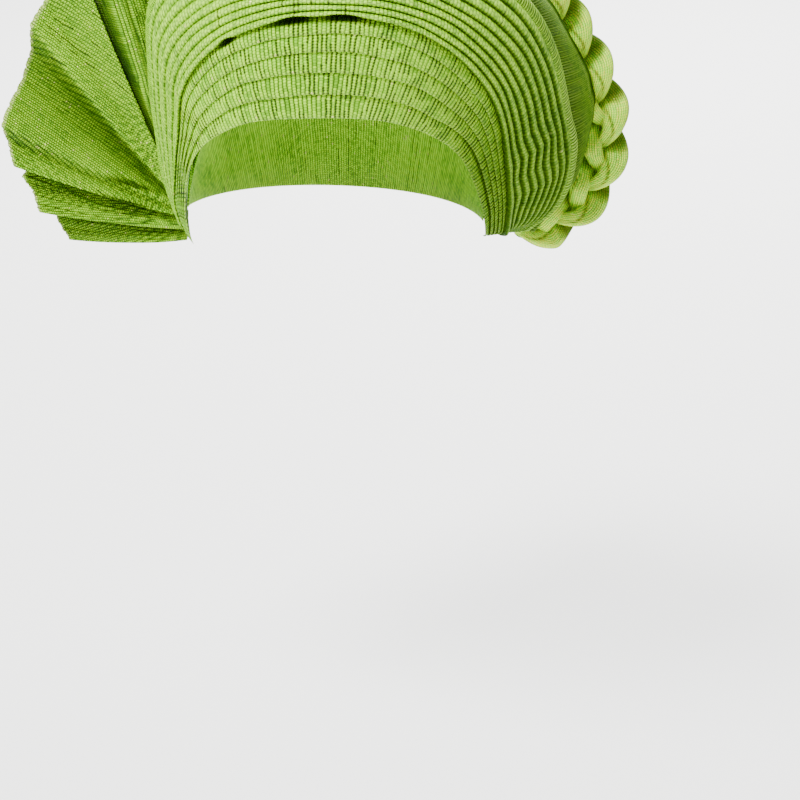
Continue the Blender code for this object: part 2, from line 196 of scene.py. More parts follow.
def value(name, description, default):
    """A plain number."""
    return FloatProperty(name=name, description=description, default=default)


def colour(name, description, default):
    """A colour in red, green and blue."""
    return FloatVectorProperty(name=name, description=description, default=default, subtype="COLOR")


class FrontSizes(bpy.types.PropertyGroup):
    """Sizes of the pleated front."""

    hem_rise: metres("Hem rise", "Top of the hem above the brow", 0.064)
    crest_rise: metres("Crest rise", "Top of the last pleat", 0.140)
    crest_right: metres("Crest right", "Reach on the braid's side", 0.120)
    crest_left: metres("Crest left", "Reach on the fan's side", 0.087)
    crest_forward: metres("Crest forward", "Forward reach of the crest", 0.061)
    fullness: metres("Fullness", "Swell of the front", 0.010)
    tier_lap: value("Tier lap", "Share of a tier under the next one", 0.40)
    tier_puff: metres("Tier puff", "Swell of each tier", 0.0006)
    pleat_growth: value("Pleat growth", "Each pleat is wider by this share", 0.06)
    pleat_depth: metres("Pleat depth", "Height of a fine pleat", 0.0021)
    wing_width: metres("Wing width", "Width of the smooth wing", 0.013)
    rib_pitch: metres("Rib pitch", "Spacing of the crest's cross ribs", 0.0017)


class CrownSizes(bpy.types.PropertyGroup):
    """Sizes of the crown and the nape band."""

    slot: metres("Slot", "Room behind the last pleat", 0.011)
    nape_drop: metres("Nape drop", "Hang below the brow at the nape", 0.036)
    length: metres("Length", "Straight run behind the crest", 0.078)
    rise: metres("Rise", "Height above the nape", 0.104)
    draw: value("Draw", "How far the sides draw in", 0.60)
    lap: value("Lap", "Share of a fold that lies over the next", 0.27)
    fold_depth: metres("Fold depth", "Swell of a fold", 0.0016)
    band_height: value("Band height", "Share that the nape band covers", 0.19)


class FanSizes(bpy.types.PropertyGroup):
    """Sizes of the ruffled fan."""

    reach: metres("Reach", "Length of the long folds", 0.125)
    depth: metres("Depth", "Depth of the folds at the rim", 0.012)
    bow: metres("Bow", "Forward bow of a leaf", 0.003)
    side: metres("Side", "Distance of the root from the middle", 0.077)
    root_drop: metres("Root drop", "Root below the brow", 0.012)
    stand_off: metres("Stand off", "Inner ends from the root", 0.0023)
    cloth: metres("Cloth", "Thickness of a leaf", 0.0011)


class BraidSizes(bpy.types.PropertyGroup):
    """Sizes of the three-strand braid."""

    period: metres("Period", "Length of one full plait", 0.073)
    swing: metres("Swing", "Sideways swing of a strand", 0.0076)
    depth: metres("Depth", "Swing from front to back", 0.0053)
    rise: metres("Rise", "Top of the braid", 0.149)
    reach: metres("Reach", "Reach to the side", 0.135)
    wide: metres("Wide", "Half width of a lobe", 0.0071)
    thick: metres("Thick", "Half thickness of a lobe", 0.0050)


class ClothLook(bpy.types.PropertyGroup):
    """Colours and threads of the cloth."""

    thickness: metres("Thickness", "Thickness of the folded cloth", 0.0010)
    gap: metres("Gap", "Clearance between pieces", 0.0005)
    lap_gap: metres("Lap gap", "Clearance between tiers", 0.0002)
    crown_gap: metres("Crown gap", "Clearance between crown folds", 0.0006)
    light: colour("Light lime", "Raised threads", (0.48, 0.94, 0.015))
    mid: colour("Lime", "The cloth", (0.20, 0.52, 0.004))
    deep: colour("Deep lime", "Between threads", (0.022, 0.085, 0.0))
    # Also the colour of the painted highlights on rib tops.
    pale: colour("Selvedge", "Pale edge threads", (0.66, 0.84, 0.22))
    gold: colour("Gold", "Metallic thread", (0.95, 0.92, 0.30))


class StageLook(bpy.types.PropertyGroup):
    """Camera, lights and floor."""

    lens: value("Lens", "Focal length in mm on a 36 mm sensor", 78.3)
    floor: metres("Floor", "Height of the floor", -0.42)
    key: value("Key light", "Power of the key light", 62.0)
    fill: value("Fill light", "Power of the fill light", 4.5)
    back: value("Floor light", "Power of the light over the floor", 230.0)
    sky: value("Sky", "Strength of the even light", 0.30)


def sizes(name):
    """One of the scene's groups of sizes."""
    return getattr(bpy.context.scene, "head_tie_" + name)


def smooth_rows(rows, at):
    """Reads a table whose first column is a station, at any stations, on a smooth curve through its rows."""
    table = np.array(rows, float)
    x, y = table[:, 0], table[:, 1:]
    slope = np.gradient(y, x, axis=0)
    i = np.clip(np.searchsorted(x, at, side="right") - 1, 0, len(x) - 2)
    h = (x[i + 1] - x[i])[:, None]
    t = (at - x[i])[:, None] / h
    start = (1 + 2 * t) * (1 - t) ** 2 * y[i] + t * (1 - t) ** 2 * h * slope[i]
    end = t**2 * (3 - 2 * t) * y[i + 1] + t**2 * (t - 1) * h * slope[i + 1]
    return start + end


def unit(vectors):
    """The same directions with length 1."""
    return vectors / np.maximum(np.linalg.norm(vectors, axis=-1, keepdims=True), 1e-9)


def ripple(x, seed):
    """A smooth wandering line between about -1 and 1: a sum of four sines whose phases come from the seed."""
    total = np.zeros_like(x)
    for k in range(1, 5):
        total = total + np.sin(x * k * 6.1 + seed * (2.3 + k * 1.7) + k) / k**0.7
    return total / 2.2


def ramp(x, start, over):
    """0 up to the start, 1 once x is over past it, and straight between."""
    return np.clip((x - start) / over, 0, 1)


def ramp_down(x, end, over):
    """1 until x is over short of the end, 0 from the end on, and straight between."""
    return np.clip((end - x) / over, 0, 1)


def hump(x, width):
    """1 where x is 0, dying away on both sides as e to the minus (x / width) squared."""
    return np.exp(-((x / width) ** 2))


def run_along(line):
    """The distance along a line at each of its points."""
    return np.concatenate([[0], np.cumsum(np.linalg.norm(np.diff(line, axis=0), axis=-1))])


def head_point(turn, rise):
    """A point of the head's ellipsoid: turn in radians round from the front, rise above the brow."""
    side, back, up = HEAD_RADII
    slim = np.sqrt(np.clip(1 - (rise / up) ** 2, 0, 1))
    return np.stack([side * slim * np.sin(turn), -back * slim * np.cos(turn), rise], axis=-1)


def front_edges(stations):
    """The hem, the crest and the fullness, at each station across the front."""
    s = sizes("front")
    turn, rise, side, depth, up, fullness, _ = smooth_rows(FRONT_SECTIONS, stations).T
    hem = head_point(np.radians(turn), rise * s.hem_rise)
    reach = np.where(side > 0, s.crest_right, s.crest_left)
    crest = np.stack([side * reach, depth * s.crest_forward, up * s.crest_rise], axis=-1)
    return hem, crest, fullness * s.fullness


def front_reach(stations):
    """The straight way from hem to crest at each station, in a column."""
    hem, crest, _ = front_edges(stations)
    return np.linalg.norm(crest - hem, axis=-1)[:, None]


def front_base(stations, shares):
    """A straight line from hem to crest at each station, swelled outwards by 4v(1-v)(0.6+0.8v)."""
    hem, crest, fullness = front_edges(stations)
    chord = crest - hem
    out = unit(np.cross(np.gradient(hem + crest, axis=0), chord))
    v = shares[..., None]
    swell = 4 * v * (1 - v) * (0.6 + 0.8 * v)
    return hem[:, None] + chord[:, None] * v + out[:, None] * fullness[:, None, None] * swell


def stand_off(base, stations, shares, heights):
    """Points that stand out from a base by heights, along its own normals."""
    points = base(stations, shares)
    on = base(stations, shares + 1e-3) - base(stations, shares - 1e-3)
    out = unit(np.cross(np.gradient(points, axis=0), on))
    return points + out * heights[..., None]


def front_skin(stations, shares, heights):
    """Points over the front's base, whose heights fade out at its two ends."""
    pinch = np.clip(np.minimum(stations / 0.10, (1 - stations) / 0.02), 0.04, 1) ** 0.6
    return stand_off(front_base, stations, shares, heights * pinch[:, None])


def tier_lines(stations):
    """Shares of the way from hem to crest at which each tier and each fine pleat starts.

    The tiers narrow by 11% each over the forehead, and the lowest is wider on the braid's side.
    """
    middle = np.sin(np.pi * stations) ** 0.8
    tiers_part = smooth_rows(FRONT_SECTIONS, stations)[:, -1]
    growth = 1 + sizes("front").pleat_growth * np.arange(PLEAT_COUNT)
    fall = 1 - 0.11 * middle[:, None] * (np.arange(TIER_COUNT) - (TIER_COUNT - 1) / 2)
    fall[:, 0] += 0.7 * ramp(stations, 0.70, 0.15) * ramp_down(stations, 1, 0.06)
    tiers = fall / fall.sum(1, keepdims=True) * tiers_part[:, None]
    pleats = np.broadcast_to(growth / growth.sum(), (len(stations), PLEAT_COUNT))
    widths = np.concatenate([tiers, pleats * (1 - tiers_part)[:, None]], axis=1)
    return np.concatenate([np.zeros((len(stations), 1)), np.cumsum(widths, axis=1)], axis=1)


def tier_lap(stations):
    """Share of a tier that lies under the next one: more at the two ends, where the tiers are narrow."""
    ends = np.clip(1 - np.sin(np.pi * stations) / 0.6, 0, 1)
    return sizes("front").tier_lap + 0.9 * ends[:, None]


def lap_step(stations, lines):
    """How far one tier lies over the next, so that two tilted layers keep their clearance."""
    look = sizes("cloth")
    pitch = front_reach(stations)[:, 0] * np.diff(lines[:, : TIER_COUNT + 1], axis=1).min(1)
    layer = look.thickness + look.lap_gap
    return layer / np.sqrt(1 - np.clip(layer / pitch, 0, 0.75) ** 2)


def crown_base(stations, shares):
    """A cubic arc at each station, from behind the crest straight back and down to the nape."""
    c = sizes("crown")
    _, crest, _ = front_edges(stations)
    start = crest + smooth_rows(CROWN_STARTS, stations) * c.slot
    turn = np.radians(-98 - 164 * stations)
    arch = np.sin(np.pi * stations)
    nape = head_point(turn, -(0.45 + 0.22 * stations + 0.44 * arch) * c.nape_drop)
    outward = unit(nape * [1, 1, 0])
    back = np.stack([-c.draw * start[:, 0] / sizes("front").crest_right, 1 + 0 * turn, -0.12 * arch], axis=-1)
    first = start + back * (c.length * (0.12 + 0.88 * arch))[:, None]
    second = nape + unit(outward * 0.35 + [0, 0, 1]) * (c.rise * (0.05 + 0.95 * arch))[:, None]
    v = shares[..., None]
    ends = (1 - v) ** 3 * start[:, None] + v**3 * nape[:, None]
    return ends + 3 * v * (1 - v) ** 2 * first[:, None] + 3 * v**2 * (1 - v) * second[:, None]


def crown_skin(stations, shares, heights):
    """Points over the crown's base."""
    return stand_off(crown_base, stations, shares, heights)


def grid_mesh(name, points, weave, fold, painted_shade, closed, flip):
    """Makes a mesh of quads from a grid of points, with a thread map in metres and two shades.

    weave holds (across, along) thread distances for each grid point. With closed, each row is a ring, the
    first and last rows are capped, and weave's last column repeats the first point's place at the end of the
    ring. fold is 1 on folded edges and selvedges, whose pale dotted threads it marks, and it also marks the
    painted highlights on rib tops. The second shade is painted shade: 1 deep between two folds, and less in
    the other places where shade falls.
    """
    count, columns = points.shape[:2]
    last = columns if closed else columns - 1
    i, j = np.meshgrid(np.arange(count - 1), np.arange(last), indexing="ij")
    corner_i = np.stack([i, i + 1, i + 1, i], axis=-1).reshape(-1, 4)
    corner_j = np.stack([j, j, j + 1, j + 1], axis=-1).reshape(-1, 4)
    if flip:
        corner_i, corner_j = corner_i[:, ::-1], corner_j[:, ::-1]
    faces = (corner_i * columns + corner_j % columns).tolist()
    uv = weave[corner_i, corner_j].reshape(-1, 2)
    if closed:
        way = -1 if flip else 1
        for row, turn in ((0, way), (count - 1, -way)):
            end = np.arange(columns)[::turn]
            faces.append((row * columns + end).tolist())
            uv = np.concatenate([uv, weave[row, end]])
    mesh = bpy.data.meshes.new(name)
    mesh.from_pydata(points.reshape(-1, 3).tolist(), [], faces)
    mesh.uv_layers.new(name="threads").data.foreach_set("uv", uv.ravel())
    for label, values in (("edge", fold), ("painted_shade", painted_shade)):
        shade = np.zeros((count, columns)) + values
        mesh.attributes.new(label, "FLOAT", "POINT").data.foreach_set("value", shade.ravel())
    mesh.shade_smooth()
    return mesh


def lay_threads(points, closed):
    """Thread distances of a grid: across is the mean run over the rows, along the run over each row."""
    step = np.linalg.norm(np.diff(points, axis=0), axis=-1).mean(1)
    across = np.concatenate([[0], np.cumsum(step)])[:, None]
    ring = np.concatenate([points, points[:, :1]], axis=1) if closed else points
    run = np.linalg.norm(np.diff(ring, axis=1), axis=-1)
    along = np.concatenate([np.zeros((len(points), 1)), np.cumsum(run, axis=1)], axis=1)
    return np.stack([np.broadcast_to(across, along.shape), along], axis=-1)


def cloth_piece(
    name, points, kind, node,
    fold=0.0, painted_shade=0.0, weave=None, flip=False, wall=0.0, side=0.0,
):
    """Makes a grid of points into a piece of cloth that stands for the node, if one is given.

    Each row of the grid is a ring, unless there is a wall: then the grid is an open leaf of that
    thickness, and side is its place, from -1 behind the grid to 1 before it.
    """
    closed = not wall
    if weave is None:
        weave = lay_threads(points, closed)
    mesh = grid_mesh(name, points, weave, fold, painted_shade, closed, flip)
    mesh.materials.append(cloth(kind))
    piece = bpy.data.objects.new(name, mesh)
    bpy.context.scene.collection.objects.link(piece)
    if wall:
        thick = piece.modifiers.new("wall", "SOLIDIFY")
        thick.thickness = wall
        thick.offset = side
    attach(piece, "root")
    if node:
        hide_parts(node)


def folded_band(skin, stations, reach, edge, hidden, half, low, swell=None, along=18):
    """The closed section of a band of folded cloth at each station, and the shade of its folded edge.

    t runs from 0 at the folded edge to 1 at the hidden one. The inner face lies at low(t), the outer face
    at low(t) + 2 half + swell(t), and half circles of radius half join them at both ends. skin turns
    stations, shares and heights into points; reach is how many metres one share is.
    """
    sign = np.sign(hidden - edge)
    span = np.abs(hidden - edge) * reach
    arc = np.radians(np.linspace(-90, 90, 7))[None]
    inset = half * (1 - np.cos(arc)) / span
    t_out = np.linspace(0, 1, along)[None] ** 1.25 * (1 - 2.4 * half / span) + 1.2 * half / span
    t_in = np.linspace(1, 0, INNER_POINTS)[None] * (1 - 2.4 * half / span) + 1.2 * half / span
    t = np.concatenate([inset, t_out, 1 - inset[:, ::-1], t_in], axis=1)
    puff = swell(t_out) if swell else 0 * t_out
    lift = np.concatenate([half + half * np.sin(arc) + 0 * inset, 2 * half + puff], axis=1)
    back = np.concatenate([half + half * np.sin(arc[:, ::-1]) + 0 * inset, 0 * t_in], axis=1)
    heights = low(t) + np.concatenate([lift, back], axis=1)
    points = skin(stations, edge + sign * span / reach * t, heights)
    fold = np.exp(-t * span / 0.0007)
    return points, fold


def band_shade(points, shade):
    """The painted shade of a folded band: the given shade, and painted shade on its inner face."""
    painted_shade = np.zeros(points.shape[:2]) + shade
    painted_shade[:, -INNER_POINTS:] = 0.65
    return painted_shade


class Bench:
    """Short ways to add and join shader nodes."""

    def __init__(self, name):
        self.material = bpy.data.materials.new(name)
        self.material.use_nodes = True
        self.tree = self.material.node_tree
        self.shader = self.tree.nodes["Principled BSDF"]

    def node(self, kind, **settings):
        """Adds a node and sets its own settings."""
        made = self.tree.nodes.new(kind)
        for key, value in settings.items():
            setattr(made, key, value)
        return made

    def join(self, source, target):
        """Links an output, or sets a number, on an input."""
        if isinstance(source, bpy.types.NodeSocket):
            self.tree.links.new(source, target)
        else:
            target.default_value = source

    def math(self, operation, a, b=0.0, c=0.0, clamp=False):
        """One math node of up to three inputs."""
        made = self.node("ShaderNodeMath", operation=operation, use_clamp=clamp)
        for source, target in zip((a, b, c), made.inputs):
            self.join(source, target)
        return made.outputs[0]

    def times(self, a, b):
        """One number times another."""
        return self.math("MULTIPLY", a, b)

    def line(self, x, slope, start):
        """A straight line: slope x + start."""
        return self.math("MULTIPLY_ADD", x, slope, start)

    def arch(self, x, power):
        """sin(pi x), without its sign, to a power."""
        wave = self.math("SINE", self.times(x, math.pi))
        return self.math("POWER", self.math("ABSOLUTE", wave), power)

    def mix(self, factor, a, b):
        """Mixes two colours."""
        made = self.node("ShaderNodeMix", data_type="RGBA", clamp_factor=True)
        for source, target in ((factor, made.inputs[0]), (a, made.inputs[6]), (b, made.inputs[7])):
            self.join(source, target)
        return made.outputs[2]

    def white(self, *parts):
        """A random number for each whole-number cell."""
        made = self.node("ShaderNodeTexWhiteNoise", noise_dimensions="3D")
        cell = self.node("ShaderNodeCombineXYZ")
        for source, target in zip(parts, cell.inputs):
            self.join(source, target)
        self.join(cell.outputs[0], made.inputs["Vector"])
        return made.outputs["Value"]

    def clouds(self, scale, detail):
        """Soft noise on the object's own coordinates."""
        place = self.node("ShaderNodeTexCoord")
        made = self.node("ShaderNodeTexNoise", noise_dimensions="3D")
        made.inputs["Scale"].default_value = scale
        made.inputs["Detail"].default_value = detail
        self.join(place.outputs["Object"], made.inputs["Vector"])
        return made.outputs["Fac"]

    def open_places(self, amount):
        """How likely an openwork column is: most over the forehead, less by 0.43 at both sides."""
        place = self.node("ShaderNodeTexCoord")
        spot = self.node("ShaderNodeSeparateXYZ")
        self.join(place.outputs["Object"], spot.inputs[0])
        sideways = self.node("ShaderNodeMapRange")
        for value, target in zip((0.030, 0.085, amount + 0.08, amount - 0.35), sideways.inputs[1:5]):
            target.default_value = value
        off = self.math("ABSOLUTE", self.math("SUBTRACT", spot.outputs[0], 0.018))
        self.join(off, sideways.inputs[0])
        return sideways.outputs[0]


def rgba(colour, tone=1.0):
    """A colour times its tone, with full cover."""
    return (*[min(1.0, c * tone) for c in colour], 1.0)


def woven_cloth(name, column, row, openwork, relief, tone, glint, ribbed, crisp):
    """Woven cloth: beads of thread in columns, each next column half a bead on, from the thread map.

    A bead's height is sin(pi c)^crisp sin(pi r)^0.5 of its place in its cell, weighed by ribbed between
    whole columns and single beads. Openwork columns have rows of dark dots between them, some cells hold
    a metallic thread, and edges carry pale dotted threads, which on rib tops are painted highlights.
    Painted shade darkens the colour towards NO_LIGHT and takes its specular away; tone paints a piece
    lighter or darker.
    """
    look = sizes("cloth")
    b = Bench(name)
    uv = b.node("ShaderNodeUVMap", uv_map="threads")
    parts = b.node("ShaderNodeSeparateXYZ")
    b.join(uv.outputs[0], parts.inputs[0])
    wander = b.math("SUBTRACT", b.clouds(120.0, 3.0), 0.5)
    broad = b.math("SUBTRACT", b.clouds(30.0, 4.0), 0.5)
    across = b.math("DIVIDE", b.line(wander, column * 0.8, parts.outputs[0]), column)
    down = b.math("DIVIDE", b.line(wander, row * 0.8, parts.outputs[1]), row)
    column_id = b.math("FLOOR", across)
    gap_id = b.math("ROUND", across)
    in_column = b.math("FRACT", across)
    shifted = b.math("ADD", down, b.times(b.math("FLOORED_MODULO", column_id, 2.0), 0.5))
    cell = b.white(column_id, b.math("FLOOR", shifted), 1.0)
    whole = b.white(column_id, 7.0, 4.0)
    rows = b.line(b.arch(b.math("FRACT", shifted), 0.5), 1 - ribbed, ribbed)
    strength = b.line(cell, 0.45, b.line(whole, 0.25, 0.30))
    bead = b.times(b.times(b.arch(in_column, crisp), rows), strength)
    hole = 0.0
    if openwork > 0:
        near_gap = b.arch(b.math("ADD", in_column, 0.5), 3.5)
        patch = b.line(broad, 2.2, b.open_places(openwork))
        open_column = b.math("GREATER_THAN", patch, b.white(gap_id, 3.0, 2.0))
        dash_id = b.math("FLOOR", b.math("DIVIDE", down, 4.0))
        dash = b.math("GREATER_THAN", b.white(gap_id, dash_id, 5.0), 0.3)
        hole = b.times(b.times(near_gap, open_column), b.times(dash, b.arch(down, 0.8)))
    tint = b.line(broad, 0.5, b.line(bead, 1.15, -0.02))
    ramp_node = b.node("ShaderNodeValToRGB")
    stops = ramp_node.color_ramp.elements
    stops.new(0.34)
    for stop, place, paint in zip(stops, (0.02, 0.34, 0.72), (look.deep, look.mid, look.light)):
        stop.position = place
        stop.color = rgba(paint, tone)
    b.join(tint, ramp_node.inputs[0])
    shade = b.mix(b.times(hole, 0.9), ramp_node.outputs[0], rgba(NO_LIGHT))
    # Pale dotted threads along folded edges and selvedges; on rib tops the same pale dots are a painted
    # highlight.
    edge = b.node("ShaderNodeAttribute", attribute_name="edge")
    dots = b.line(b.math("SINE", b.times(parts.outputs[0], 2 * math.pi / SELVEDGE_DOTS)), 0.35, 0.45)
    pale = b.math("MULTIPLY", edge.outputs["Fac"], dots, clamp=True)
    shade = b.mix(pale, shade, rgba(look.pale))
    spark = b.times(b.math("GREATER_THAN", cell, 1.0 - glint), b.math("GREATER_THAN", bead, 0.62))
    shade = b.mix(b.times(spark, 0.55), shade, rgba(look.gold))
    # Painted shade from the mesh's shade attribute: hidden mixes the colour up to 93% towards NO_LIGHT, and
    # lowers the specular below.
    painted_shade = b.node("ShaderNodeAttribute", attribute_name="painted_shade")
    lit = b.math("SUBTRACT", 1.0, painted_shade.outputs["Fac"], clamp=True)
    hidden = b.line(b.math("POWER", lit, 2.2), -0.93, 0.93)
    shade = b.mix(hidden, shade, rgba(NO_LIGHT))
    bump = b.node("ShaderNodeBump")
    bump.inputs["Distance"].default_value = relief
    b.join(b.line(hole, -0.9, bead), bump.inputs["Height"])
    for source, target in (
        (shade, "Base Color"),
        (b.line(spark, -0.35, 0.62), "Roughness"),
        (b.times(spark, 0.4), "Metallic"),
        (b.line(hidden, -0.15, 0.15), "Specular IOR Level"),
        (bump.outputs[0], "Normal"),
    ):
        b.join(source, b.shader.inputs[target])
    return b.material


# The cloths: the slot, the widths of a column and of a row of beads, how much of it is openwork, the
# beads' height, how light it is, its share of metallic thread, how ribbed and how crisp its columns are.
# All are the same lime cloth, so the tone paints light and shade: the braid is painted lighter, and the
# wing and the fan darker, for how the light falls on them.
Weave = namedtuple("Weave", "slot column row openwork relief tone glint ribbed crisp")
CLOTHS = {
    "woven_tiers": Weave("pleated_cloth", 0.0021, 0.0013, 0.50, 0.0008, 1.05, 0.006, 0.45, 0.7),
    "woven_pleats": Weave("pleated_cloth", 0.0019, PLEAT_ROW, 0.05, 0.0006, 1.0, 0.006, 0.3, 0.4),
    "woven_crest": Weave("pleated_cloth", 0.0011, 0.0011, 0.0, 0.0004, 0.92, 0.01, 0.5, 0.7),
    "woven_wing": Weave("smooth_cloth", 0.0011, 0.0011, 0.0, 0.0004, 0.60, 0.01, 0.5, 0.7),
    "woven_fan": Weave("fan_cloth", 0.0014, 0.0012, 0.22, 0.0010, 0.79, 0.02, 0.1, 0.7),
    "woven_braid": Weave("braid_cloth", 0.0013, 0.0013, 0.04, 0.0007, 1.85, 0.03, 0.15, 0.7),
    "woven_crown": Weave("smooth_cloth", 0.0015, 0.0012, 0.04, 0.0006, 0.9, 0.012, 0.3, 0.7),
}


def cloth(kind):
    """The cloth for a group of pieces, made once."""
    return bpy.data.materials.get(kind) or woven_cloth(kind, *CLOTHS[kind][1:])


def bump_at(stations, places):
    """The sum of smooth bumps of height 1 at the given places."""
    total = np.zeros_like(stations)
    for place in places:
        total += np.exp(-(np.abs((stations - place.station) / (0.6 * place.half_width)) ** 2.4))
    return total


class HEADTIE_OT_tiers(bpy.types.Operator):
    """Adds the five broad tiers over the forehead."""

    bl_idname = "headtie.tiers"
    bl_label = "Broad tiers"

    def execute(self, context):
        s, look = sizes("front"), sizes("cloth")
        stations = np.linspace(0, 1, 420)
        at = stations[:, None]
        lines = tier_lines(stations)
        reach = front_reach(stations)
        step = lap_step(stations, lines)[:, None]
        slit = bump_at(at, SLITS)
        calm = np.sin(np.pi * at) ** 0.5 * ramp(at, 0.23, 0.15) * ramp_down(at, 0.97, 0.25)
        lap = tier_lap(stations)
        width = lines[:, [TIER_COUNT]] / TIER_COUNT
        # Painted shade on the braid's side, which turns away from the light.
        painted_side_shade = ramp(at, 0.60, 0.26)
        half = look.thickness / 2
        for tier in range(TIER_COUNT):
            last = tier == TIER_COUNT - 1
            wander = 0.00035 * ripple(at * 5, tier + 1.0) * calm / reach
            edge = lines[:, [tier]] + (wander if tier else 0)
            tuck = (0.8 + 1.7 * last * (at < 0.5)) * ramp(np.abs(at - 0.5), 0.16, 0.10)
            hidden = lines[:, [tier + 1]] + (lap + tuck) * width
            covers = 1 + lap + tuck

            def low(t):
                """A slope down to the hidden end: flat there on the last tier, and sunk at its slits."""
                rise = np.maximum(step * (1 + lap - t * covers), -0.00115 if last else -1.0)
                return rise - 0.0022 * slit * last * ramp(t, 0.50, 0.16) ** 2

            def swell(t):
                """An arch over the share of the tier that shows, uneven along it."""
                loose = 1 + 0.5 * ripple(at * 7, tier + 4.0)
                share = np.clip(t * 1.3 * covers / (1 + lap), 0, 1)
                return s.tier_puff * calm * loose * np.sin(np.pi * share)

            points, fold = folded_band(front_skin, stations, reach, edge, hidden, half, low, swell)
            # Painted shade on the braid's side, darkest in a painted shadow just below the next tier's folded
            # edge; on the last tier, painted shade also fills the slits.
            far = np.linspace(0, 1, points.shape[1])[None]
            under = hump(far - 0.54 + 0.10 * (lap + tuck - s.tier_lap), 0.05)
            shade = painted_side_shade * np.maximum(0.42, 0.85 * under)
            if last:
                shade = np.maximum(shade, slit * ramp(far, 0.42, 0.06))
            name, node = f"broad_tier_{tier + 1}", f"front_tier_{tier + 1}"
            cloth_piece(
                name, points, "woven_tiers", node,
                fold=0.5 * fold, painted_shade=band_shade(points, shade),
            )
        return {"FINISHED"}


